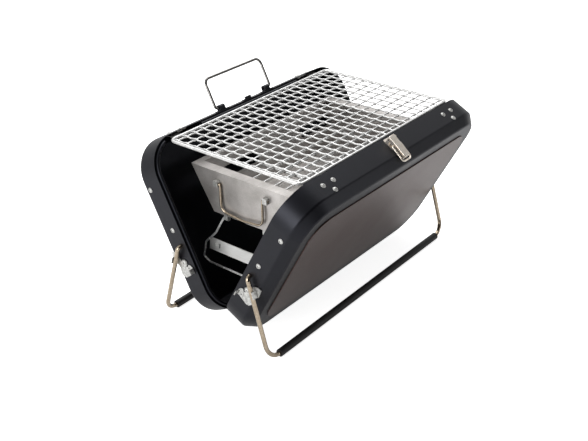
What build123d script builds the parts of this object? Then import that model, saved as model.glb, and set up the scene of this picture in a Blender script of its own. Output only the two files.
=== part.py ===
from build123d import *
from math import atan2, cos, degrees, radians, sin, sqrt, tan
import os

os.makedirs("parts", exist_ok=True)

# A folding camp grill: two dished case halves stand open as a V on two wire legs,
# a charcoal tray hangs between them on wire end frames and the cooking grill lies
# on top. X runs along the hinge, the front half leans to -Y, the floor is Z = 0.
# Inside a half, "rise" is measured up from the hinge and "depth" outwards from the rim.

# Case halves
case_length = 410.0
case_height = 247.4
case_corner = 46.0
case_wall = 1.0
wall_depth = 30.2
bevel_depth = 13.2
bevel_inset = 9.7
face_corner = 40.2
dish_round = 4.0
rim_gap = 0.5
open_angle = 27.4
panel_border = 17.6
panel_thickness = 1.6
panel_corner = 29.6
panel_edge_round = 0.9

# Rim frame of the rear half, which nests inside the front half
lip_groove = 2.9
lip_width = 4.6
lip_reach = 3.0
lip_foot_depth = 5.0
lip_foot_thickness = 2.0
lip_notch_margin = 3.0
lip_round = 1.8

# Hinge under the two lower edges
hinge_pin_radius = 1.2
pin_head_radius = 1.9
knuckle_radius = 2.4
knuckle_count = 7
knuckle_gap = 0.6
leaf_thickness = 1.0
leaf_width = 18.0
hinge_bore_clearance = 0.05
hinge_swing_clearance = 0.4

# Legs, each a bent wire with a plastic sleeve as its foot
leg_wire_radius = 3.0
leg_length = 116.0
leg_swing = 43.8
leg_pivot_rise = 109.0
leg_pivot_depth = 10.0
leg_wall_clearance = 3.0
leg_top_bend = 5.5
leg_foot_bend = 20.0
leg_bore_clearance = 0.05
sleeve_radius = 5.3
sleeve_sole_width = 2.4
push_nut_radius = 4.6
push_nut_thickness = 4.0
push_nut_clearance = 0.4

# Leg clips on the end walls
clip_thickness = 1.2
clip_outline = [(77.0, 5.4), (69.0, 5.4), (68.5, 11.4), (67.1, 17.4), (65.6, 23.5), (67.1, 28.0), (72.5, 30.8),
                (77.3, 29.6), (81.0, 27.5), (87.5, 31.5), (90.5, 34.5), (97.4, 33.8), (103.6, 33.1), (103.4, 27.5),
                (99.5, 21.5), (92.0, 22.5), (88.0, 21.0), (90.3, 18.5), (90.3, 14.4), (86.5, 12.0), (82.5, 13.2),
                (80.8, 17.4), (79.6, 13.4), (82.3, 10.4), (80.5, 7.4)]
clip_corner = 0.8
clip_stop_length = 10.0
clip_stop_distance = 24.0
clip_stop_height = 8.0
clip_ear_length = 7.0
clip_ear_rise = 73.0
clip_ear_height = 6.5
clip_contact_gap = 0.3
clip_rivets = [(74.3, 12.5), (86.4, 16.1)]

# Rivets
rivet_head_radius = 3.5
rivet_head_height = 1.5
rivet_shank_radius = 1.6
rivet_tail_radius = 2.4
rivet_tail_height = 1.0
rivet_dimple_radius = 0.9
rivet_dimple_depth = 0.8
wall_rivets = [(190.0, 24.0), (131.5, 14.0)]

# Grill rests under the top walls
rest_width = 34.0
rest_tongue_width = 15.0
rest_tongue_gap = 4.0
rest_thickness = 1.5
rest_bend_depth = 10.2
rest_edge_gap = 1.2
rest_overlap = 7.0
rest_end_gap = 16.0
rest_rivet_spacing = 20.0
rest_rivet_near = 14.5
rest_rivet_far = 26.4

# Cooking grill
grill_border_radius = 2.0
grill_wire_radius = 1.1
grill_end_gap = 35.0
grill_side_gap = 4.1
grill_forward = 2.0
grill_corner = 9.0
grill_pitch = 16.3
grill_edge_gap = 4.0
grill_wire_end = 1.0
grill_layer_gap = 0.1
grill_rest_gap = 0.3

# Charcoal tray with its grate
tray_wall = 0.8
tray_end_gap = 55.5
tray_side_gap = 7.8
tray_drop = 33.6
tray_depth = 62.4
tray_side_slope = 33.9
tray_end_slope = 3.0
tray_end_hem = 15.0
tray_side_hem = 10.0
vent_length = 76.0
vent_height = 13.0
vent_places = [-71.0, 98.0]
vent_drop = 27.5
grate_wire_radius = 1.5
grate_pitch = 18.5
grate_long_wires = 5
grate_cross_wires = 4
grate_level = 29.0
grate_end_gap = 9.0
grate_wall_gap = 0.6
grate_weld = 0.2

# Tray handles
tray_handle_radius = 1.6
tray_handle_span = 71.0
tray_handle_height = 38.0
tray_handle_sag = 3.5
tray_handle_bend = 11.0
tray_tab_width = 7.0
tray_tab_height = 8.0
tray_tab_thickness = 5.4
tray_tab_drop = 15.6
tray_tab_gap = 0.5
tray_tab_rim = 1.4
tray_handle_foot_bend = 2.2
tray_handle_belly = 44.0
tray_pivot_clearance = 0.05

# End frames that carry the tray
frame_wire_radius = 1.5
frame_pivot_drop = 6.0
frame_pivot_inset = 3.5
frame_lean = 8.5
frame_ear_place = 33.0
frame_ear_width = 6.0
frame_ear_radius = 3.0
frame_shoulder_rise = 70.5
frame_shoulder_inset = 2.4
frame_knee_rise = 89.0
frame_knee_inset = 19.4
frame_foot_rise = 48.7
frame_toe_inset = 11.4
frame_bar_drop = 5.0
frame_bend = 4.0
frame_case_gap = 0.5
strap_height = 17.0
strap_low_rise = 62.0
strap_thickness = 1.2
strap_half_length = 62.5
strap_tab_size = 7.0
strap_tab_place = 50.0
strap_bite = 0.3
strap_slot_place = 45.0
strap_slot_width = 2.4

# Carry handle on the rear half
handle_wire_radius = 1.9
handle_span = 116.0
handle_height = 43.0
handle_depth = 10.0
handle_bend = 9.0
handle_foot_bend = 4.5
lug_radius = 3.8
lug_length = 10.0
lug_base_length = 20.0
lug_base_width = 13.0
lug_base_thickness = 1.0
lug_base_corner = 2.0
lug_axis_height = 4.6
lug_gap = 0.6
lug_bore_clearance = 0.05

# Latch on the front half and its keeper on the rear half
latch_width = 11.5
latch_length = 33.4
latch_near = 7.0
latch_near_height = 11.0
latch_slope = 11.5
latch_side_height = 5.7
latch_sheet = 1.0
latch_corner = 2.0
latch_round = 0.8
latch_pin_depth = 9.5
latch_pin_height = 7.6
latch_pin_radius = 1.0
latch_base_near = 3.0
latch_base_end = 25.0
latch_ear_radius = 2.2
latch_play = 0.4
latch_bore_clearance = 0.05
bail_wire_radius = 1.1
bail_pivot_depth = 18.9
bail_pivot_height = 4.7
bail_tip_gap = 1.0
bail_tip_drop = 1.2
bail_gap = 3.5
bail_bend = 4.0
bail_foot_bend = 1.3
keeper_width = 12.0
keeper_near = 1.4
keeper_far = 10.0
keeper_height = 4.5
keeper_sheet = 1.4

# Derived sizes
tilt = radians(open_angle)
case_depth = wall_depth + bevel_depth
leg_arm_place = case_length / 2 + leg_wall_clearance + leg_wire_radius
swing = radians(leg_swing)
foot_rise = leg_pivot_rise - leg_length * cos(swing)
foot_depth = leg_pivot_depth + leg_length * sin(swing)
sole_height = sqrt(sleeve_radius**2 - (sleeve_sole_width / 2)**2)
hinge_height = sole_height - (foot_rise * cos(tilt) - foot_depth * sin(tilt))
hinge_length = case_length - 2 * case_corner
inner_top = case_height - case_wall
rest_plate_end = wall_depth - rest_edge_gap
rest_level = inner_top * cos(tilt) - rest_bend_depth * sin(tilt)
grill_level = rest_level + grill_rest_gap + grill_border_radius
grill_length = case_length - 2 * grill_end_gap
grill_width = 2 * (grill_level * tan(tilt) - grill_side_gap)
rest_place = grill_length / 2 - rest_end_gap - rest_width / 2
tray_top = grill_level - tray_drop
tray_length = case_length - 2 * tray_end_gap
tray_width = 2 * (tray_top * tan(tilt) - tray_side_gap)
tray_bottom = tray_top - tray_depth
tray_floor_width = tray_width - 2 * tray_side_slope
tray_floor_length = tray_length - 2 * tray_end_slope
latch_far = latch_near + latch_length * cos(radians(latch_slope))
bail_tip_depth = latch_far + bail_tip_gap + bail_wire_radius


# A point of one half, from its place along the hinge, its rise and its depth.
# The front half has side -1 and the rear half has side 1.
def case_point(side, along, rise, depth):
    out = side * (rise * sin(tilt) + depth * cos(tilt))
    up = rise * cos(tilt) - depth * sin(tilt)
    return Vector(along, out, hinge_height + up)


# The rim plane of one half: local Y is rise and local Z is depth.
def rim_plane(side):
    out = (0, side * cos(tilt), -sin(tilt))
    return Plane(origin=(0, 0, hinge_height), x_dir=(-side, 0, 0), z_dir=out)


# The outer face of one end wall: local X is rise, local Y is depth, Z is outwards.
def end_plane(side):
    start = case_point(side, -side * case_length / 2, 0, 0)
    rise = (0, side * sin(tilt), cos(tilt))
    return Plane(origin=start, x_dir=rise, z_dir=(-side, 0, 0))


# The outer face of the top wall: local X is along the hinge, local Y is depth.
def top_plane(side):
    rise = (0, side * sin(tilt), cos(tilt))
    return Plane(origin=case_point(side, 0, case_height, 0), x_dir=(side, 0, 0), z_dir=rise)


# A plane at a height above the hinge.
def level(height):
    return Plane.XY.offset(hinge_height + height)


# A round wire bent along straight runs joined by arcs.
def bend_wire(points, bends, radius, closed=False):
    with BuildPart() as wire:
        with BuildLine() as path:
            FilletPolyline(*points, radius=bends, close=closed)
        with BuildSketch(Plane(origin=path.line @ 0, z_dir=path.line % 0)):
            Circle(radius)
        sweep()
    return wire


def save(piece, name):
    piece.part.label = name
    export_step(piece.part, f"parts/{name}.step")


# The form of a dished half, set in by a margin: straight walls, then a bevel, with
# both bends rounded. Its local Y is rise and its local Z is depth.
def dish_form(margin, start, end):
    length = case_length - 2 * margin
    height = case_height - 2 * margin
    near = 0.01
    with BuildPart() as form:
        with BuildSketch(Plane.XY.offset(start)):
            with Locations((0, case_height / 2)):
                RectangleRounded(length, height, case_corner - margin)
        extrude(amount=wall_depth - start)
        with BuildSketch(Plane.XY.offset(wall_depth)):
            with Locations((0, case_height / 2)):
                RectangleRounded(length, height, case_corner - margin)
        with BuildSketch(Plane.XY.offset(end)):
            with Locations((0, case_height / 2)):
                RectangleRounded(length - 2 * bevel_inset, height - 2 * bevel_inset, face_corner - margin)
        loft()
        for depth in (wall_depth, end):
            fillet(form.edges().filter_by_position(Axis.Z, depth - near, depth + near), radius=dish_round - margin)
    return form


# Where the rivets of one half stand, each with Z out of the case.
def rivet_places(side):
    places = []
    for rise, depth in wall_rivets:
        for end in (-1, 1):
            places.append(Plane(origin=case_point(side, end * case_length / 2, rise, depth), z_dir=(end, 0, 0)))
    top = top_plane(side)
    for centre in (-rest_place, rest_place):
        half = rest_rivet_spacing / 2
        for along, depth in ((-half, rest_rivet_near), (half, rest_rivet_near), (0, rest_rivet_far)):
            places.append(Plane(origin=case_point(side, centre + along, case_height, depth), z_dir=top.z_dir))
    return places


def clip_rivet_places(side):
    places = []
    for rise, depth in clip_rivets:
        for end in (-1, 1):
            spot = case_point(side, end * (case_length / 2 + clip_thickness), rise, depth)
            places.append(Plane(origin=spot, z_dir=(end, 0, 0)))
    return places


def make_shell(name, side):
    outside = dish_form(0, rim_gap, case_depth)
    inside = dish_form(case_wall, 0, case_depth - case_wall)
    with BuildPart() as shell:
        with Locations(rim_plane(side)):
            add(outside.part)
            add(inside.part, mode=Mode.SUBTRACT)
        # Room for the hinge barrel along the lower edge
        with Locations(Plane(origin=(0, 0, hinge_height), z_dir=(1, 0, 0))):
            Cylinder(knuckle_radius + hinge_swing_clearance, hinge_length + 2 * knuckle_gap, mode=Mode.SUBTRACT)
        for end in (-1, 1):
            pivot = case_point(side, end * case_length / 2, leg_pivot_rise, leg_pivot_depth)
            with Locations(Plane(origin=pivot, z_dir=(end, 0, 0))):
                Cylinder(leg_wire_radius + leg_bore_clearance, 4 * case_wall, mode=Mode.SUBTRACT)
        with Locations(*rivet_places(side), *clip_rivet_places(side)):
            Cylinder(rivet_shank_radius, 6 * case_wall, mode=Mode.SUBTRACT)
    save(shell, name)


def make_panel(name, side):
    inset = bevel_inset + panel_border
    with BuildPart() as panel:
        with BuildSketch(rim_plane(side).offset(case_depth)):
            with Locations((0, case_height / 2)):
                RectangleRounded(case_length - 2 * inset, case_height - 2 * inset, panel_corner)
        extrude(amount=panel_thickness)
        outer = panel.faces().sort_by(Axis(origin=(0, 0, 0), direction=rim_plane(side).z_dir))[-1]
        fillet(outer.edges(), radius=panel_edge_round)
    save(panel, name)


# One rivet with Z out of the case, its head seated at Z = 0, through a given thickness.
def rivet_form(grip):
    with BuildPart() as rivet:
        with BuildSketch(Plane.XZ):
            with BuildLine():
                tail = -grip - rivet_tail_height
                Polyline((0, rivet_head_height), (0, tail), (rivet_tail_radius, tail),
                         (rivet_tail_radius, -grip), (rivet_shank_radius, -grip),
                         (rivet_shank_radius, 0), (rivet_head_radius, 0))
                ThreePointArc((rivet_head_radius, 0), (rivet_head_radius * 0.75, rivet_head_height * 0.72),
                              (0, rivet_head_height))
            make_face()
        revolve(axis=Axis.Z)
        with Locations((0, 0, rivet_head_height)):
            Cylinder(rivet_dimple_radius, 2 * rivet_dimple_depth, mode=Mode.SUBTRACT)
    return rivet


def make_rivets(name, side):
    wall_rivet = rivet_form(case_wall)
    rest_rivet = rivet_form(case_wall + rest_thickness)
    clip_rivet = rivet_form(case_wall + clip_thickness)
    places = rivet_places(side)
    walls = 2 * len(wall_rivets)
    with BuildPart() as rivets:
        with Locations(*places[:walls]):
            add(wall_rivet.part)
        with Locations(*places[walls:]):
            add(rest_rivet.part)
        with Locations(*clip_rivet_places(side)):
            add(clip_rivet.part)
    save(rivets, name)


# Sheet rests bent so that their tongues lie level when the case is open. The front
# tongues stand nearer the middle than the rear ones, so they pass when it closes.
def make_rests(name, side):
    bend = case_point(side, 0, inner_top, rest_bend_depth)
    tip = grill_width / 2 - rest_overlap + grill_border_radius
    drop = rest_thickness / cos(tilt / 2)
    lower_y = bend.Y - side * drop * sin(tilt / 2)
    lower = Vector(0, lower_y, bend.Z - rest_thickness)
    far_top = case_point(side, 0, inner_top, rest_plate_end)
    far_low = case_point(side, 0, inner_top - rest_thickness, rest_plate_end)
    tongue_shift = side * (rest_tongue_width + rest_tongue_gap) / 2
    with BuildPart() as rests:
        for end in (-1, 1):
            plate = Plane(origin=(end * rest_place, 0, 0), x_dir=(0, 1, 0), z_dir=(1, 0, 0))
            with BuildSketch(plate):
                with BuildLine():
                    Polyline((bend.Y, bend.Z), (far_top.Y, far_top.Z), (far_low.Y, far_low.Z),
                             (lower.Y, lower.Z), close=True)
                make_face()
            extrude(amount=rest_width / 2, both=True)
            with BuildSketch(plate.offset(end * tongue_shift)):
                with BuildLine():
                    Polyline((bend.Y, bend.Z), (lower.Y, lower.Z), (side * tip, lower.Z),
                             (side * tip, bend.Z), close=True)
                make_face()
            extrude(amount=rest_tongue_width / 2, both=True)
        with Locations(*rivet_places(side)):
            Cylinder(rivet_shank_radius, 12 * case_wall, mode=Mode.SUBTRACT)
    save(rests, name)


def make_rim_frame(name, side):
    plane = rim_plane(side)
    inner = lip_groove + lip_width
    with BuildPart() as frame:
        with BuildSketch(plane.offset(-lip_reach)):
            with Locations((0, case_height / 2)):
                RectangleRounded(case_length - 2 * lip_groove, case_height - 2 * lip_groove, case_corner - lip_groove)
                RectangleRounded(case_length - 2 * inner, case_height - 2 * inner, case_corner - inner,
                                 mode=Mode.SUBTRACT)
        extrude(amount=lip_reach + lip_foot_depth)
        crest = frame.faces().sort_by(Axis(origin=(0, 0, 0), direction=plane.z_dir))[0]
        fillet(crest.edges(), radius=lip_round)
        with BuildSketch(plane.offset(lip_foot_depth - lip_foot_thickness)):
            with Locations((0, case_height / 2)):
                RectangleRounded(case_length - 2 * case_wall, case_height - 2 * case_wall, case_corner - case_wall)
                RectangleRounded(case_length - 2 * inner, case_height - 2 * inner, case_corner - inner,
                                 mode=Mode.SUBTRACT)
        extrude(amount=lip_foot_thickness)
        # The frame is notched where the grill rests of both halves pass
        notch = rest_width + 2 * (rest_tongue_width + lip_notch_margin)
        for centre in (-rest_place, rest_place):
            with BuildSketch(plane.offset(-2 * lip_reach)):
                with Locations((centre, case_height)):
                    Rectangle(notch, 4 * inner)
            extrude(amount=4 * lip_foot_depth, mode=Mode.SUBTRACT)
    save(frame, name)


# One leaf of the piano hinge with every second knuckle, starting from the given one.
def make_leaf(name, side, first):
    pitch = hinge_length / knuckle_count
    plane = rim_plane(side)
    own = [(-hinge_length / 2 + pitch * (k + 0.5), 0) for k in range(first, knuckle_count, 2)]
    other = [(-hinge_length / 2 + pitch * (k + 0.5), 0) for k in range(1 - first, knuckle_count, 2)]
    with BuildPart() as leaf:
        with BuildSketch(plane.offset(rim_gap)):
            with Locations((0, -leaf_thickness / 2)):
                Rectangle(hinge_length, leaf_thickness)
        extrude(amount=leaf_width)
        for along, rise in other:
            with Locations(Plane(origin=(along, 0, hinge_height), z_dir=(1, 0, 0))):
                Cylinder(knuckle_radius + hinge_swing_clearance, pitch + knuckle_gap, mode=Mode.SUBTRACT)
        for along, rise in own:
            with Locations(Plane(origin=(along, 0, hinge_height), z_dir=(1, 0, 0))):
                Cylinder(knuckle_radius, pitch - knuckle_gap)
        with Locations(Plane(origin=(0, 0, hinge_height), z_dir=(1, 0, 0))):
            Cylinder(hinge_pin_radius + hinge_bore_clearance, hinge_length + 2, mode=Mode.SUBTRACT)
    save(leaf, name)


def make_hinge_pin():
    with BuildPart() as pin:
        with Locations(Plane(origin=(0, 0, hinge_height), z_dir=(1, 0, 0))):
            Cylinder(hinge_pin_radius, hinge_length)
            head = (hinge_length + knuckle_gap) / 2
            with Locations((0, 0, head), (0, 0, -head)):
                Cylinder(pin_head_radius, knuckle_gap)
    save(pin, "hinge_pin")


# The clip on each end wall: a claw-shaped plate with a stop for the open leg and an
# ear beside the folded leg.
def make_clips(name, side):
    plane = end_plane(side)
    arm = Vector(-cos(swing), sin(swing))
    across = Vector(sin(swing), cos(swing))
    clearance = leg_wire_radius + clip_contact_gap + clip_thickness / 2
    pivot = Vector(leg_pivot_rise, leg_pivot_depth)
    stop = pivot + arm * clip_stop_distance + across * clearance
    ear_depth = leg_pivot_depth - clearance
    with BuildPart() as clips:
        with BuildSketch(plane) as outline:
            with BuildLine():
                Polyline(*clip_outline, close=True)
            make_face()
            fillet(outline.vertices(), radius=clip_corner)
        extrude(amount=clip_thickness)
        with BuildSketch(plane):
            with Locations((stop.X, stop.Y)):
                Rectangle(clip_stop_length, clip_thickness, rotation=180 - leg_swing)
        extrude(amount=clip_thickness + clip_stop_height)
        with BuildSketch(plane):
            with Locations((clip_ear_rise, ear_depth)):
                Rectangle(clip_ear_length, clip_thickness)
        extrude(amount=clip_thickness + clip_ear_height)
        with Locations(*clip_rivet_places(side)):
            Cylinder(rivet_shank_radius, 8 * case_wall, mode=Mode.SUBTRACT)
        mirror(about=Plane.YZ)
        with Locations(*clip_rivet_places(side)):
            Cylinder(rivet_shank_radius, 8 * case_wall, mode=Mode.SUBTRACT)
    save(clips, name)


# The bent wire of one leg, from end wall to end wall through its sleeve.
def make_leg(side, prefix):
    inner = case_length / 2 - case_wall - push_nut_clearance - push_nut_thickness
    top = case_point(side, 0, leg_pivot_rise, leg_pivot_depth)
    foot = case_point(side, 0, foot_rise, foot_depth)
    arm = leg_arm_place
    points = [(-inner, top.Y, top.Z), (-arm, top.Y, top.Z), (-arm, foot.Y, foot.Z),
              (arm, foot.Y, foot.Z), (arm, top.Y, top.Z), (inner, top.Y, top.Z)]
    bends = [leg_top_bend, leg_foot_bend, leg_foot_bend, leg_top_bend]
    save(bend_wire(points, bends, leg_wire_radius), prefix + "_leg_wire")
    sleeve_length = 2 * (arm - leg_foot_bend)
    with BuildPart() as sleeve:
        with Locations(Plane(origin=(0, foot.Y, foot.Z), z_dir=(1, 0, 0))):
            Cylinder(sleeve_radius, sleeve_length)
            Cylinder(leg_wire_radius, sleeve_length, mode=Mode.SUBTRACT)
        with Locations((0, foot.Y, -sleeve_radius / 2)):
            Box(sleeve_length, 2 * sleeve_radius, sleeve_radius, mode=Mode.SUBTRACT)
    save(sleeve, prefix + "_leg_sleeve")
    with BuildPart() as nuts:
        for end in (-1, 1):
            centre = end * (inner + push_nut_thickness / 2)
            with Locations(Plane(origin=(centre, top.Y, top.Z), z_dir=(end, 0, 0))):
                Cylinder(push_nut_radius, push_nut_thickness)
                Cylinder(leg_wire_radius, push_nut_thickness, mode=Mode.SUBTRACT)
    save(nuts, prefix + "_leg_nuts")


# Carry handle: a wire bow whose turned-in ends sit in two lugs on the top wall.
def make_carry_handle():
    axis_rise = case_height + lug_axis_height
    half = handle_span / 2
    start = half - lug_length - lug_gap
    low = case_point(1, 0, axis_rise, handle_depth)
    high = case_point(1, 0, axis_rise + handle_height, handle_depth)
    points = [(-start, low.Y, low.Z), (-half, low.Y, low.Z), (-half, high.Y, high.Z),
              (half, high.Y, high.Z), (half, low.Y, low.Z), (start, low.Y, low.Z)]
    bends = [handle_foot_bend, handle_bend, handle_bend, handle_foot_bend]
    save(bend_wire(points, bends, handle_wire_radius), "carry_handle")


def make_lugs():
    plane = top_plane(1)
    centre = handle_span / 2 - handle_foot_bend - lug_gap - lug_length / 2
    with BuildPart() as lugs:
        with BuildSketch(plane):
            with Locations((-centre, handle_depth), (centre, handle_depth)):
                RectangleRounded(lug_base_length, lug_base_width, lug_base_corner)
        extrude(amount=lug_base_thickness)
        with BuildSketch(plane):
            with Locations((-centre, handle_depth), (centre, handle_depth)):
                Rectangle(lug_length, 2 * lug_radius)
        extrude(amount=lug_axis_height)
        axis = [case_point(1, end * centre, case_height + lug_axis_height, handle_depth) for end in (-1, 1)]
        with Locations(*[Plane(origin=spot, z_dir=(1, 0, 0)) for spot in axis]):
            Cylinder(lug_radius, lug_length)
            Cylinder(handle_wire_radius + lug_bore_clearance, lug_base_length, mode=Mode.SUBTRACT)
    save(lugs, "handle_lugs")


# Latch: base plate with ears, pin, sloping channel lever and wire bail; keeper opposite.
def make_latch():
    plane = top_plane(-1)
    ear_place = latch_width / 2 + latch_play + latch_sheet / 2
    base_width = 2 * ear_place + latch_sheet
    pin_spot = case_point(-1, 0, case_height + latch_pin_height, latch_pin_depth)
    pin_axis = Plane(origin=pin_spot, z_dir=(1, 0, 0))
    with BuildPart() as base:
        with BuildSketch(plane):
            with Locations((0, (latch_base_near + latch_base_end) / 2)):
                RectangleRounded(base_width, latch_base_end - latch_base_near, latch_corner)
        extrude(amount=latch_sheet)
        with Locations(pin_axis):
            with Locations((0, 0, -ear_place), (0, 0, ear_place)):
                Cylinder(latch_ear_radius, latch_sheet)
        with BuildSketch(plane):
            with Locations((-ear_place, latch_pin_depth), (ear_place, latch_pin_depth)):
                Rectangle(latch_sheet, 2 * latch_ear_radius)
        extrude(amount=latch_pin_height)
        with Locations(pin_axis):
            Cylinder(latch_pin_radius, 2 * base_width, mode=Mode.SUBTRACT)
    save(base, "latch_base")
    with BuildPart() as pin:
        with Locations(pin_axis):
            Cylinder(latch_pin_radius, base_width + latch_sheet)
    save(pin, "latch_pin")
    bail_spot = case_point(-1, 0, case_height + bail_pivot_height, bail_pivot_depth)
    crown = Plane(origin=case_point(-1, 0, case_height + latch_near_height, latch_near),
                  x_dir=plane.x_dir, z_dir=plane.z_dir).rotated((latch_slope, 0, 0))
    with BuildPart() as lever:
        with BuildSketch(crown):
            with Locations((0, latch_length / 2)):
                RectangleRounded(latch_width, latch_length, latch_corner)
        extrude(amount=-latch_side_height)
        top = lever.faces().sort_by(Axis(origin=(0, 0, 0), direction=crown.z_dir))[-1]
        fillet(top.edges(), radius=latch_round)
        with BuildSketch(crown.offset(-latch_sheet)):
            with Locations((0, latch_length / 2 - latch_sheet)):
                Rectangle(latch_width - 2 * latch_sheet, latch_length)
        extrude(amount=-latch_side_height, mode=Mode.SUBTRACT)
        with Locations(pin_axis):
            Cylinder(latch_pin_radius + latch_bore_clearance, 2 * latch_width, mode=Mode.SUBTRACT)
        with Locations(Plane(origin=bail_spot, z_dir=(1, 0, 0))):
            Cylinder(bail_wire_radius + latch_bore_clearance, 2 * latch_width, mode=Mode.SUBTRACT)
    save(lever, "latch_lever")
    reach = latch_width / 2 + bail_gap
    stub = latch_width / 2 - latch_sheet - latch_play
    tip = case_point(-1, 0, case_height - bail_tip_drop, bail_tip_depth)
    points = [(-stub, bail_spot.Y, bail_spot.Z), (-reach, bail_spot.Y, bail_spot.Z), (-reach, tip.Y, tip.Z),
              (reach, tip.Y, tip.Z), (reach, bail_spot.Y, bail_spot.Z), (stub, bail_spot.Y, bail_spot.Z)]
    bends = [bail_foot_bend, bail_bend, bail_bend, bail_foot_bend]
    save(bend_wire(points, bends, bail_wire_radius), "latch_bail")
    rear = top_plane(1)
    with BuildPart() as keeper:
        with BuildSketch(rear):
            with Locations((0, (keeper_near + keeper_far) / 2)):
                Rectangle(keeper_width, keeper_far - keeper_near)
        extrude(amount=keeper_sheet)
        with BuildSketch(rear):
            with Locations((0, keeper_near + keeper_sheet / 2)):
                Rectangle(keeper_width, keeper_sheet)
        extrude(amount=keeper_height)
    save(keeper, "latch_keeper")


# Charcoal tray: vertical ends, sloping sides and a hem folded inwards round the top.
def make_tray():
    with BuildPart() as tray:
        for margin, rise, mode in ((0, 0, Mode.ADD), (tray_wall, tray_wall, Mode.SUBTRACT)):
            with BuildSketch(level(tray_bottom + rise)):
                Rectangle(tray_floor_length - 2 * margin, tray_floor_width - 2 * margin)
            with BuildSketch(level(tray_top)):
                Rectangle(tray_length - 2 * margin, tray_width - 2 * margin)
            loft(mode=mode)
        with BuildSketch(level(tray_top - tray_wall)):
            Rectangle(tray_length - tray_wall, tray_width - tray_wall)
            Rectangle(tray_length - 2 * tray_end_hem, tray_width - 2 * tray_side_hem, mode=Mode.SUBTRACT)
        extrude(amount=tray_wall)
        vent_level = (0, 0, hinge_height + tray_top - vent_drop)
        with BuildSketch(Plane(origin=vent_level, x_dir=(1, 0, 0), z_dir=(0, 1, 0))):
            with Locations(*[(place, 0) for place in vent_places]):
                SlotOverall(vent_length, vent_height)
        extrude(amount=tray_width, both=True, mode=Mode.SUBTRACT)
    save(tray, "charcoal_tray")


def make_grate():
    rise = tray_bottom + grate_level
    slope = tray_side_slope / tray_depth
    lower = rise - 2 * grate_wire_radius
    long_half = tray_floor_length / 2 - grate_end_gap
    lowest = grate_level - 3 * grate_wire_radius
    cross_half = tray_floor_width / 2 - tray_wall + slope * lowest - grate_wall_gap
    spread = 2 * (long_half - 2 * grate_end_gap) / (grate_cross_wires - 1)
    with BuildPart() as grate:
        for k in range(grate_long_wires):
            place = (k - (grate_long_wires - 1) / 2) * grate_pitch
            with Locations(Plane(origin=(0, place, hinge_height + rise), z_dir=(1, 0, 0))):
                Cylinder(grate_wire_radius, 2 * long_half)
        for k in range(grate_cross_wires):
            place = (k - (grate_cross_wires - 1) / 2) * spread
            with Locations(Plane(origin=(place, 0, hinge_height + lower + grate_weld), z_dir=(0, 1, 0))):
                Cylinder(grate_wire_radius, 2 * cross_half)
    save(grate, "charcoal_grate")


# One tray handle hangs from two tabs on an end wall of the tray.
def make_tray_handles():
    pivot_rise = tray_top - tray_tab_drop
    lean = tray_end_slope / tray_depth
    wall_x = tray_length / 2 - lean * (tray_tab_drop - tray_tab_height / 2)
    pivot_x = wall_x + tray_tab_thickness - tray_handle_radius - tray_tab_rim
    half = tray_handle_span / 2
    tab_near = half + tray_handle_radius + tray_tab_gap
    tab_mid = tab_near + tray_tab_width / 2
    ends = {"left": -1, "right": 1}
    for name, end in ends.items():
        high = hinge_height + pivot_rise
        low = high - tray_handle_height
        x = end * pivot_x
        outer = tab_near + tray_tab_width
        points = [(x, -outer, high), (x, -half, high), (x, -half, low), (x, 0, low - tray_handle_sag),
                  (x, half, low), (x, half, high), (x, outer, high)]
        bends = [tray_handle_foot_bend, tray_handle_bend, tray_handle_belly, tray_handle_bend,
                 tray_handle_foot_bend]
        save(bend_wire(points, bends, tray_handle_radius), f"{name}_tray_handle")
    base = tray_length / 2 - lean * (tray_tab_drop + tray_tab_height / 2)
    with BuildPart() as tabs:
        for end in ends.values():
            for place in (-tab_mid, tab_mid):
                with BuildSketch(Plane(origin=(end * base, place, hinge_height + pivot_rise), z_dir=(end, 0, 0))):
                    Rectangle(tray_tab_height, tray_tab_width)
                extrude(amount=wall_x - base + tray_tab_thickness)
            with Locations(Plane(origin=(end * pivot_x, 0, hinge_height + pivot_rise), z_dir=(0, 1, 0))):
                Cylinder(tray_handle_radius + tray_pivot_clearance, 4 * tray_handle_span, mode=Mode.SUBTRACT)
        with BuildSketch(level(tray_top - tray_depth)):
            Rectangle(tray_floor_length, tray_floor_width * 2)
        with BuildSketch(level(tray_top)):
            Rectangle(tray_length, tray_floor_width * 2)
        loft(mode=Mode.SUBTRACT)
    save(tabs, "tray_handle_tabs")


# End frames: a wire foot that hinges under the tray floor, and the strap across it.
def frame_point(end, side, rise, place):
    pivot_rise = tray_bottom - frame_pivot_drop
    pivot_x = tray_floor_length / 2 - frame_pivot_inset
    x = pivot_x + (pivot_rise - rise) * tan(radians(frame_lean))
    return Vector(end * x, side * place, hinge_height + rise)


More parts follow.
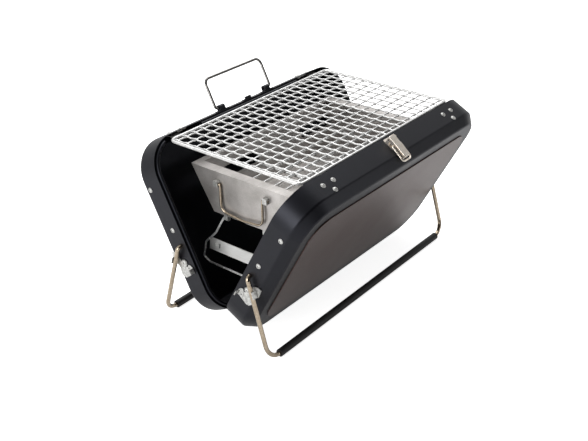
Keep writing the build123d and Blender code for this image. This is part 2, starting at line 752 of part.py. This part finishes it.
def make_frames():
    pivot_rise = tray_bottom - frame_pivot_drop
    inner_depth = case_depth - case_wall - frame_wire_radius - frame_case_gap
    reach = (inner_depth + frame_foot_rise * sin(tilt)) / cos(tilt)
    shoulder = reach - frame_shoulder_inset
    knee = reach - frame_knee_inset
    ear_in = frame_ear_place - frame_ear_width / 2
    head = frame_ear_place + frame_ear_width / 2 + 2 * frame_wire_radius
    bar_rise = frame_foot_rise - frame_bar_drop
    half_run = [(pivot_rise, ear_in), (pivot_rise, head), (frame_knee_rise, knee),
                (frame_shoulder_rise, shoulder), (frame_foot_rise, reach),
                (bar_rise, reach - frame_toe_inset)]
    for name, end in (("left", -1), ("right", 1)):
        points = [frame_point(end, -1, rise, place) for rise, place in half_run]
        points += [frame_point(end, 1, rise, place) for rise, place in reversed(half_run)]
        save(bend_wire(points, frame_bend, frame_wire_radius), f"{name}_frame_wire")
        middle = frame_point(end, 1, strap_low_rise + strap_height / 2, 0)
        lean = radians(frame_lean)
        face = Plane(origin=middle, x_dir=(0, 1, 0), z_dir=(-end * cos(lean), 0, -sin(lean)))
        with BuildPart() as strap:
            with BuildSketch(face.offset(frame_wire_radius - strap_bite)):
                Rectangle(2 * strap_half_length, strap_height)
            extrude(amount=strap_thickness)
            for place in (-strap_tab_place, strap_tab_place):
                with BuildSketch(face.offset(-strap_tab_size / 2 + frame_wire_radius)):
                    with Locations((place, 0)):
                        Rectangle(strap_thickness, strap_tab_size)
                extrude(amount=strap_tab_size / 2)
            for place in (-strap_slot_place, strap_slot_place):
                with BuildSketch(face):
                    with Locations((place, 0)):
                        Rectangle(strap_slot_width, strap_tab_size)
                extrude(amount=strap_tab_size, mode=Mode.SUBTRACT)
        save(strap, f"{name}_frame_strap")
    ear_x = tray_floor_length / 2 - frame_pivot_inset
    with BuildPart() as ears:
        for end in (-1, 1):
            for place in (-frame_ear_place, frame_ear_place):
                spot = (end * ear_x, place, hinge_height + pivot_rise)
                with Locations(Plane(origin=spot, z_dir=(0, 1, 0))):
                    Cylinder(frame_ear_radius, frame_ear_width)
                with BuildSketch(level(pivot_rise)):
                    with Locations((end * ear_x, place)):
                        Rectangle(2 * frame_ear_radius, frame_ear_width)
                extrude(amount=frame_pivot_drop)
            with Locations(Plane(origin=(end * ear_x, 0, hinge_height + pivot_rise), z_dir=(0, 1, 0))):
                Cylinder(frame_wire_radius + tray_pivot_clearance, 4 * frame_ear_place, mode=Mode.SUBTRACT)
    save(ears, "frame_ears")


# Cooking grill: a border wire with two layers of straight wires between its sides.
def make_grill():
    half_length = grill_length / 2 - grill_border_radius
    half_width = grill_width / 2 - grill_border_radius
    z = hinge_height + grill_level
    far = half_width - grill_forward
    near = -half_width - grill_forward
    corners = [(half_length, far, z), (-half_length, far, z), (-half_length, near, z), (half_length, near, z)]
    save(bend_wire(corners, grill_corner, grill_border_radius, closed=True), "grill_border")
    inner_length = 2 * (half_length - grill_wire_end)
    inner_width = 2 * (half_width - grill_wire_end)
    lift = grill_wire_radius + grill_layer_gap / 2
    long_pairs = int((half_width - grill_edge_gap) / grill_pitch)
    cross_pairs = int((half_length - grill_edge_gap) / grill_pitch)
    with BuildPart() as long_wires:
        for k in range(-long_pairs, long_pairs + 1):
            place = k * grill_pitch - grill_forward
            with Locations(Plane(origin=(0, place, z + lift), z_dir=(1, 0, 0))):
                Cylinder(grill_wire_radius, inner_length)
    save(long_wires, "grill_long_wires")
    with BuildPart() as cross_wires:
        for k in range(-cross_pairs, cross_pairs + 1):
            place = k * grill_pitch
            with Locations(Plane(origin=(place, -grill_forward, z - lift), z_dir=(0, 1, 0))):
                Cylinder(grill_wire_radius, inner_width)
    save(cross_wires, "grill_cross_wires")


for prefix, side in (("front", -1), ("rear", 1)):
    make_shell(prefix + "_shell", side)
    make_panel(prefix + "_panel", side)
    make_rivets(prefix + "_rivets", side)
    make_rests(prefix + "_grill_rests", side)
    make_clips(prefix + "_leg_clips", side)
    make_leg(side, prefix)
make_rim_frame("rear_rim_frame", 1)
make_leaf("rear_hinge_leaf", 1, 0)
make_leaf("front_hinge_leaf", -1, 1)
make_hinge_pin()
make_carry_handle()
make_lugs()
make_latch()
make_tray()
make_grate()
make_tray_handles()
make_frames()
make_grill()
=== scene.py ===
import bpy
from mathutils import Matrix, Vector


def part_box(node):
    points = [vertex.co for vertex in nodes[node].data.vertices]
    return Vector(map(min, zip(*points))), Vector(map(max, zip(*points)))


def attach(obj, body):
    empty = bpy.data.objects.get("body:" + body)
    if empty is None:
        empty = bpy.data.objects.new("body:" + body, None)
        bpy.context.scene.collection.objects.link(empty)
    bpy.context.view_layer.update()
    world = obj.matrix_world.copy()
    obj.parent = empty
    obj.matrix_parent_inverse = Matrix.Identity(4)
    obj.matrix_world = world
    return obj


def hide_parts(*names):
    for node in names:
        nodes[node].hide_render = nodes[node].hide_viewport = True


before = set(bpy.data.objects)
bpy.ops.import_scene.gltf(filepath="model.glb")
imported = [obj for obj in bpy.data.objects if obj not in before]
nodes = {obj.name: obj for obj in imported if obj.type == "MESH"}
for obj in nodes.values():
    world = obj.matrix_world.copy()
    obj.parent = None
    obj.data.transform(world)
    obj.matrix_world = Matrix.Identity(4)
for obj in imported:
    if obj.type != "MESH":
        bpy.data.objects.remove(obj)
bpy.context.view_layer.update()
millimetre = 0.001


# small helpers

def linear(hexColour):
    # sRGB hex to the linear colour that a shader socket takes
    channels = [int(hexColour[i:i + 2], 16) / 255 for i in (1, 3, 5)]
    return [c / 12.92 if c <= 0.04045 else ((c + 0.055) / 1.055) ** 2.4 for c in channels] + [1.0]


def addNode(tree, kind, settings={}, links={}):
    # settings are node properties or socket values, links are socket name to source socket
    node = tree.nodes.new(kind)
    for name, value in settings.items():
        if isinstance(name, int) or name in node.inputs:
            node.inputs[name].default_value = value
        else:
            setattr(node, name, value)
    for name, source in links.items():
        tree.links.new(source, node.inputs[name])
    return node


def newMaterial(name):
    material = bpy.data.materials.new(name)
    material.use_nodes = True
    material.node_tree.nodes.clear()
    return material, material.node_tree


def dress(tree, settings, links):
    # the surface itself: what is the same all over stands in settings, what follows a pattern in links
    shader = addNode(tree, "ShaderNodeBsdfPrincipled", settings, links)
    addNode(tree, "ShaderNodeOutputMaterial", {}, {"Surface": shader.outputs["BSDF"]})


def grainOf(tree, sizeMm, detail=2.0, stretch=(1, 1, 1)):
    # noise whose grains are sizeMm across, drawn out along the axes where stretch is small
    place = addNode(tree, "ShaderNodeTexCoord")
    scaled = addNode(tree, "ShaderNodeMapping", {"Scale": stretch}, {"Vector": place.outputs["Object"]})
    settings = {"Scale": 1 / (sizeMm * millimetre), "Detail": detail}
    return addNode(tree, "ShaderNodeTexNoise", settings, {"Vector": scaled.outputs["Vector"]}).outputs["Fac"]


toneStops = (0.35, 0.65)  # where in a noise its darkest and its lightest tone begin


def tones(tree, colourPattern, colours, roughPattern, roughness):
    # a colour from dark to light and a roughness from smooth to coarse, each along its own pattern
    ramp = addNode(tree, "ShaderNodeValToRGB", {}, {"Fac": colourPattern})
    for stop, position, colour in zip(ramp.color_ramp.elements, toneStops, colours):
        stop.position = position
        stop.color = linear(colour)
    settings = {"To Min": roughness[0], "To Max": roughness[1]}
    rough = addNode(tree, "ShaderNodeMapRange", settings, {"Value": roughPattern})
    return ramp.outputs["Color"], rough.outputs["Result"]


def useMaterial(material, *names):
    for name in names:
        mesh = nodes[name].data
        mesh.materials.clear()
        mesh.materials.append(material)


# materials

stovedEnamel = {"colours": ("#060609", "#0a0a0f"), "roughness": (0.34, 0.44), "mottleMm": 30,
                "orangePeelMm": 1.6, "peelStrength": 0.12, "peelMm": 0.05,
                "specular": 0.34, "tint": "#dfe2f2"}


def makeStovedEnamel():
    # black enamel stoved on pressed steel: satin, with a faint orange peel and soft wide sheen
    material, tree = newMaterial("stovedEnamel")
    look = stovedEnamel
    mottle = grainOf(tree, look["mottleMm"])
    peel = grainOf(tree, look["orangePeelMm"], 1.0)
    colour, rough = tones(tree, mottle, look["colours"], mottle, look["roughness"])
    settings = {"Strength": look["peelStrength"], "Distance": look["peelMm"] * millimetre}
    bump = addNode(tree, "ShaderNodeBump", settings, {"Height": peel})
    dress(tree, {"Specular IOR Level": look["specular"], "Specular Tint": linear(look["tint"])},
          {"Base Color": colour, "Roughness": rough, "Normal": bump.outputs["Normal"]})
    return material


bronzePaint = {"colours": ("#3f2e2a", "#4b3833"), "roughness": (0.42, 0.5), "mottleMm": 60, "flakeMm": 0.5,
               "flakeStrength": 0.08, "reliefMm": 0.02, "metallic": 0.55, "coat": 0.25, "coatRough": 0.2}


def makeBronzePaint():
    # brown-grey metallic paint: fine flakes that give a broad, slightly warm sheen
    material, tree = newMaterial("bronzePaint")
    look = bronzePaint
    flakes = grainOf(tree, look["flakeMm"], 0.0)
    mottle = grainOf(tree, look["mottleMm"])
    colour, rough = tones(tree, flakes, look["colours"], mottle, look["roughness"])
    settings = {"Strength": look["flakeStrength"], "Distance": look["reliefMm"] * millimetre}
    bump = addNode(tree, "ShaderNodeBump", settings, {"Height": flakes})
    settings = {"Metallic": look["metallic"], "Coat Weight": look["coat"],
                "Coat Roughness": look["coatRough"]}
    dress(tree, settings, {"Base Color": colour, "Roughness": rough, "Normal": bump.outputs["Normal"]})
    return material


# shade is the colour of the painted shade in the recesses; cavity sets how far the shade reaches, its rays
# and where it fades out
zincSteel = {"colours": ("#a9a9a6", "#d4d4d1"), "shade": "#15151a", "spangleMm": 3, "reliefMm": 0.02,
             "cavityMm": 1.6, "cavityRays": 6, "cavityFrom": (0.35, 0.8),
             "plate": {"metallic": 0.6, "roughness": (0.25, 0.37), "relief": 0},
             "rivet": {"metallic": 0.35, "roughness": (0.35, 0.47), "relief": 0.04}}


def makeZincSteel(name, finish):
    # bright zinc on small pressed plates and rivets: pale, with painted shade darkening the recesses
    material, tree = newMaterial(name)
    look = zincSteel
    spangle = grainOf(tree, look["spangleMm"])
    pale, rough = tones(tree, spangle, look["colours"], spangle, finish["roughness"])
    settings = {"samples": look["cavityRays"], "Distance": look["cavityMm"] * millimetre}
    # painted shade: ambient occlusion turns the pale zinc towards the shade colour in recesses and next to
    # other parts
    closed = addNode(tree, "ShaderNodeAmbientOcclusion", settings)
    settings = {"From Min": look["cavityFrom"][0], "From Max": look["cavityFrom"][1]}
    opened = addNode(tree, "ShaderNodeMapRange", settings, {"Value": closed.outputs["AO"]})
    settings = {"data_type": "RGBA", 6: linear(look["shade"])}
    shaded = addNode(tree, "ShaderNodeMix", settings, {"Factor": opened.outputs["Result"], 7: pale})
    links = {"Base Color": shaded.outputs[2], "Roughness": rough}
    if finish["relief"]:
        settings = {"Strength": finish["relief"], "Distance": look["reliefMm"] * millimetre}
        bump = addNode(tree, "ShaderNodeBump", settings, {"Height": spangle})
        links["Normal"] = bump.outputs["Normal"]
    dress(tree, {"Metallic": finish["metallic"]}, links)
    return material


# plated wire and plate, each a metallic share, a pair of colours and a pair of roughnesses
nickelPlate = {"mottleMm": 3,
               # painted shade: the wire nickel is darker than the bare metal
               "wire": {"metallic": 1.0, "colours": ("#a39582", "#b8aa97"), "roughness": (0.08, 0.16)},
               # painted light: the latch nickel is near white
               "litLatch": {"metallic": 1.0, "colours": ("#ece2d4", "#f7f0e6"), "roughness": (0.3, 0.38)}}
chromePlate = {"mottleMm": 4,
               # painted light: the grill chrome is near white and half diffuse
               "grill": {"metallic": 0.5, "colours": ("#d6d6d5", "#f4f4f3"), "roughness": (0.21, 0.31)},
               # painted shade: the handle chrome is dark
               "handle": {"metallic": 1.0, "colours": ("#6c6a68", "#8b8986"), "roughness": (0.07, 0.17)}}


def makePlating(name, mottleMm, finish):
    # nickel is a warm champagne metal with a clear gloss, chrome has slight drawing marks; the latch nickel
    # and the grill chrome are painted near white as painted light, the wire nickel and the handle chrome are
    # painted darker as painted shade
    material, tree = newMaterial(name)
    mottle = grainOf(tree, mottleMm)
    colour, rough = tones(tree, mottle, finish["colours"], mottle, finish["roughness"])
    dress(tree, {"Metallic": finish["metallic"]}, {"Base Color": colour, "Roughness": rough})
    return material


brushedStainless = {"lineMm": 0.7, "mottleMm": 35, "lineShare": 0.35, "cloudShare": 0.65,
                    "roughness": (0.3, 0.44), "lineStrength": 0.15, "reliefMm": 0.02,
                    "tray": {"colours": ("#a09c98", "#cbc7c4"), "stretch": (0.04, 1, 1), "metallic": 0.75},
                    # the strap copy is painted near white and barely metallic: painted light on the straps,
                    # which sit in shade inside the open case
                    "strap": {"colours": ("#dcdcda", "#f6f6f4"), "stretch": (1, 0.04, 1), "metallic": 0.2}}


def makeBrushedStainless(name, finish):
    # cold-rolled stainless sheet: fine rolling lines along one way and cloudy patches
    material, tree = newMaterial(name)
    look = brushedStainless
    lines = grainOf(tree, look["lineMm"], 2.0, finish["stretch"])
    clouds = grainOf(tree, look["mottleMm"], 3.0)
    soft = addNode(tree, "ShaderNodeMath", {"operation": "MULTIPLY", 1: look["cloudShare"]}, {0: clouds})
    both = addNode(tree, "ShaderNodeMath", {"operation": "MULTIPLY_ADD", 1: look["lineShare"]},
                   {0: lines, 2: soft.outputs[0]})
    colour, rough = tones(tree, both.outputs[0], finish["colours"], clouds, look["roughness"])
    settings = {"Strength": look["lineStrength"], "Distance": look["reliefMm"] * millimetre}
    bump = addNode(tree, "ShaderNodeBump", settings, {"Height": lines})
    dress(tree, {"Metallic": finish["metallic"]},
          {"Base Color": colour, "Roughness": rough, "Normal": bump.outputs["Normal"]})
    return material


sleevePlastic = {"colours": ("#0c0c0d", "#151516"), "roughness": (0.5, 0.62), "grainMm": 0.8,
                 "grainStrength": 0.15, "reliefMm": 0.05}


def makeSleevePlastic():
    # extruded black plastic tube: matte, with a fine grain
    material, tree = newMaterial("sleevePlastic")
    look = sleevePlastic
    grain = grainOf(tree, look["grainMm"])
    colour, rough = tones(tree, grain, look["colours"], grain, look["roughness"])
    settings = {"Strength": look["grainStrength"], "Distance": look["reliefMm"] * millimetre}
    bump = addNode(tree, "ShaderNodeBump", settings, {"Height": grain})
    dress(tree, {}, {"Base Color": colour, "Roughness": rough, "Normal": bump.outputs["Normal"]})
    return material


enamel = makeStovedEnamel()
bronze = makeBronzePaint()
zinc = makeZincSteel("zincSteel", zincSteel["plate"])
rivetZinc = makeZincSteel("zincRivet", zincSteel["rivet"])
# lit and shaded copies: the wire nickel and the handle chrome are painted shade, the latch nickel and the
# grill chrome are painted light
shadedNickel = makePlating("nickelPlate", nickelPlate["mottleMm"], nickelPlate["wire"])
litNickelCopy = makePlating("litNickelCopy", nickelPlate["mottleMm"], nickelPlate["litLatch"])
litChrome = makePlating("chromePlate", chromePlate["mottleMm"], chromePlate["grill"])
shadedChrome = makePlating("shadedChrome", chromePlate["mottleMm"], chromePlate["handle"])
traySheet = makeBrushedStainless("trayStainless", brushedStainless["tray"])
# painted light: the straps get a lighter, less metallic copy of the tray's stainless
strapSheet = makeBrushedStainless("strapStainless", brushedStainless["strap"])
plastic = makeSleevePlastic()

useMaterial(enamel, "front_shell", "rear_shell", "rear_rim_frame", "latch_keeper", "handle_lugs")
useMaterial(bronze, "front_panel", "rear_panel")
useMaterial(rivetZinc, "front_rivets", "rear_rivets")
useMaterial(zinc, "front_leg_clips", "rear_leg_clips", "front_grill_rests", "rear_grill_rests",
            "front_hinge_leaf", "rear_hinge_leaf", "hinge_pin", "front_leg_nuts", "rear_leg_nuts",
            "tray_handle_tabs", "frame_ears")
useMaterial(shadedNickel, "front_leg_wire", "rear_leg_wire", "latch_pin", "left_tray_handle", "right_tray_handle")
useMaterial(litNickelCopy, "latch_base", "latch_lever", "latch_bail")
useMaterial(shadedChrome, "carry_handle")
useMaterial(litChrome, "grill_border", "grill_long_wires", "grill_cross_wires", "charcoal_grate",
            "left_frame_wire", "right_frame_wire")
useMaterial(traySheet, "charcoal_tray")
useMaterial(strapSheet, "left_frame_strap", "right_frame_strap")
useMaterial(plastic, "front_leg_sleeve", "rear_leg_sleeve")
print("materials done")


# cooking grill, woven from crimped wire

grillWeave = {"pitchMm": 16.3, "wireRadiusMm": 1.1, "borderRadiusMm": 2.0, "edgeGapMm": 4.0,
              "crimpMm": 1.0, "shoulderMm": 1.6, "footMm": 3.6, "sides": 3, "stepsPerPitch": 3}


def wireAlong(name, start, step, count, ends, crimp):
    # one crimped wire: a soft spline through a point above or below each crossing
    bpy.ops.object.select_all(action="DESELECT")
    bpy.ops.curve.primitive_nurbs_path_add(location=(0, 0, 0))
    wire = bpy.context.object
    wire.name = name
    curve = wire.data
    curve.splines.clear()
    spline = curve.splines.new("NURBS")
    along = step.normalized()
    points = [ends[0]]
    for k in range(count):
        for offset, level in ((-1, 0), (-1, 1), (1, 1), (1, 0)):
            reach = grillWeave["shoulderMm"] if level else grillWeave["footMm"]
            lift = Vector((0, 0, crimp * level))
            points.append(start + step * k + along * offset * reach * millimetre + lift)
    points.append(ends[1])
    spline.points.add(len(points) - 1)
    for place, point in zip(spline.points, points):
        place.co = (*point, 1)
    spline.order_u = 3
    spline.use_endpoint_u = True
    curve.dimensions = "3D"
    curve.resolution_u = grillWeave["stepsPerPitch"]
    curve.bevel_depth = grillWeave["wireRadiusMm"] * millimetre
    curve.bevel_resolution = grillWeave["sides"]
    curve.use_fill_caps = True
    bpy.ops.object.convert(target="MESH")
    return bpy.context.object


def weaveGrill():
    low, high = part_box("grill_border")
    centre = (low + high) / 2
    radius = grillWeave["borderRadiusMm"] * millimetre
    pitch = grillWeave["pitchMm"] * millimetre
    gap = grillWeave["edgeGapMm"] * millimetre
    half = (high - low) / 2 - Vector((radius, radius, 0))
    crimp = grillWeave["crimpMm"] * millimetre
    wires = []
    for axis, other in ((0, 1), (1, 0)):
        along = Vector((1, 0, 0)) if axis == 0 else Vector((0, 1, 0))
        across = Vector((0, 1, 0)) if axis == 0 else Vector((1, 0, 0))
        crossings = 2 * int((half[axis] - gap) / pitch) + 1
        rows = int((half[other] - gap) / pitch)
        first = centre - along * pitch * (crossings - 1) / 2
        ends = [centre - along * half[axis], centre + along * half[axis]]
        phase = -1 if axis == 0 else 1
        model = wireAlong("grillWire", first, along * pitch, crossings, ends, crimp * phase)
        for k in range(-rows, rows + 1):
            copy = model.copy()
            copy.data = model.data.copy()
            bpy.context.collection.objects.link(copy)
            copy.data.transform(Matrix.Translation(across * pitch * k))
            wires.append(copy)
        bpy.data.objects.remove(model)
    bpy.ops.object.select_all(action="DESELECT")
    for wire in wires:
        wire.select_set(True)
    bpy.context.view_layer.objects.active = wires[0]
    bpy.ops.object.join()
    woven = bpy.context.object
    woven.name = "grillWovenWires"
    bpy.ops.object.shade_smooth()
    woven.data.materials.clear()
    woven.data.materials.append(litChrome)
    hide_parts("grill_long_wires", "grill_cross_wires")
    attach(woven, "cooking_grill")


weaveGrill()
print("cooking grill woven")


# floor, light and camera

studio = {"floorColour": "#f4f4f4", "floorSize": 8.0, "floorDrop": 0.0004, "floorLift": 0.86,
          "floorGloss": 0.25, "cameraWhite": 1.0, "blueTinge": 1.03, "darkSide": (-0.1, -0.98, 0.15),
          "roomLevels": [(0.0, 0.75), (0.3, 0.5), (0.5, 0.05), (1.0, 0.03)]}


def makeFloor():
    bpy.ops.object.select_all(action="DESELECT")
    bpy.ops.mesh.primitive_plane_add(size=studio["floorSize"], location=(0, 0, -studio["floorDrop"]))
    floor = bpy.context.object
    floor.name = "studioFloor"
    material = bpy.data.materials.new("paperFloor")
    material.use_nodes = True
    tree = material.node_tree
    tree.nodes.clear()
    output = addNode(tree, "ShaderNodeOutputMaterial")
    diffuse = addNode(tree, "ShaderNodeBsdfDiffuse", {"Color": linear(studio["floorColour"])})
    path = addNode(tree, "ShaderNodeLightPath")
    gloss = addNode(tree, "ShaderNodeMath", {"operation": "MULTIPLY", 1: studio["floorGloss"]},
                    {0: path.outputs["Is Glossy Ray"]})
    seen = addNode(tree, "ShaderNodeMath", {"operation": "MAXIMUM"},
                   {0: path.outputs["Is Camera Ray"], 1: gloss.outputs[0]})
    lift = addNode(tree, "ShaderNodeMath", {"operation": "MULTIPLY", 1: studio["floorLift"]},
                   {0: seen.outputs[0]})
    glow = addNode(tree, "ShaderNodeEmission", {"Color": (1, 1, 1, 1)}, {"Strength": lift.outputs[0]})
    both = addNode(tree, "ShaderNodeAddShader", {}, {0: diffuse.outputs[0], 1: glow.outputs[0]})
    tree.links.new(both.outputs[0], output.inputs["Surface"])
    floor.data.materials.append(material)


def makeWorld():
    world = bpy.data.worlds.new("studioWorld")
    bpy.context.scene.world = world
    world.use_nodes = True
    tree = world.node_tree
    tree.nodes.clear()
    output = addNode(tree, "ShaderNodeOutputWorld")
    path = addNode(tree, "ShaderNodeLightPath")
    place = addNode(tree, "ShaderNodeTexCoord")
    turned = addNode(tree, "ShaderNodeVectorMath", {"operation": "DOT_PRODUCT", 1: studio["darkSide"]},
                     {0: place.outputs["Generated"]})
    room = addNode(tree, "ShaderNodeValToRGB", {}, {"Fac": turned.outputs["Value"]})
    room.color_ramp.elements.remove(room.color_ramp.elements[1])
    for k, (position, level) in enumerate(studio["roomLevels"]):
        stop = room.color_ramp.elements[0] if k == 0 else room.color_ramp.elements.new(position)
        stop.position = position
        stop.color = (level, level, level * studio["blueTinge"], 1)
    white = addNode(tree, "ShaderNodeMix", {"data_type": "FLOAT", 3: studio["cameraWhite"]},
                    {"Factor": path.outputs["Is Camera Ray"], 2: room.outputs["Color"]})
    back = addNode(tree, "ShaderNodeBackground", {"Color": (1, 1, 1, 1)}, {"Strength": white.outputs[0]})
    tree.links.new(back.outputs[0], output.inputs["Surface"])


lamps = [
    {"name": "overheadSoftbox", "place": (0.6, 0.6, 1.5), "aim": (0, 0, 0.1), "size": 1.4, "watts": 18},
    {"name": "leftSoftbox", "place": (-1.6, 0.0, 0.6), "aim": (0, 0, 0.12), "size": 0.9, "watts": 14},
    {"name": "frontSoftbox", "place": (1.0, -1.6, 0.5), "aim": (0, 0, 0.1), "size": 0.8, "watts": 3},
]


def makeLamps():
    for lamp in lamps:
        data = bpy.data.lights.new(lamp["name"], "AREA")
        data.size = lamp["size"]
        data.energy = lamp["watts"]
        light = bpy.data.objects.new(lamp["name"], data)
        bpy.context.collection.objects.link(light)
        light.location = lamp["place"]
        towards = Vector(lamp["aim"]) - Vector(lamp["place"])
        light.rotation_euler = towards.to_track_quat("-Z", "Y").to_euler()


viewpoint = {
    "place": (-0.9346, -0.7142, 0.7286),
    "right": (0.6217, -0.7832, -0.0091),
    "up": (0.3809, 0.2923, 0.8772),
    "back": (-0.6843, -0.5488, 0.4801),
    "lens": 57.4,
    "sensorMm": 36,
    "clipStart": 0.01,
}


def makeCamera():
    data = bpy.data.cameras.new("studioCamera")
    data.lens = viewpoint["lens"]
    data.sensor_width = viewpoint["sensorMm"]
    data.clip_start = viewpoint["clipStart"]
    camera = bpy.data.objects.new("studioCamera", data)
    bpy.context.collection.objects.link(camera)
    axes = Matrix((viewpoint["right"], viewpoint["up"], viewpoint["back"])).transposed()
    camera.matrix_world = Matrix.Translation(viewpoint["place"]) @ axes.to_4x4()
    bpy.context.scene.camera = camera


makeFloor()
makeWorld()
makeLamps()
makeCamera()
bpy.context.scene.view_settings.view_transform = "Standard"
print("studio ready")
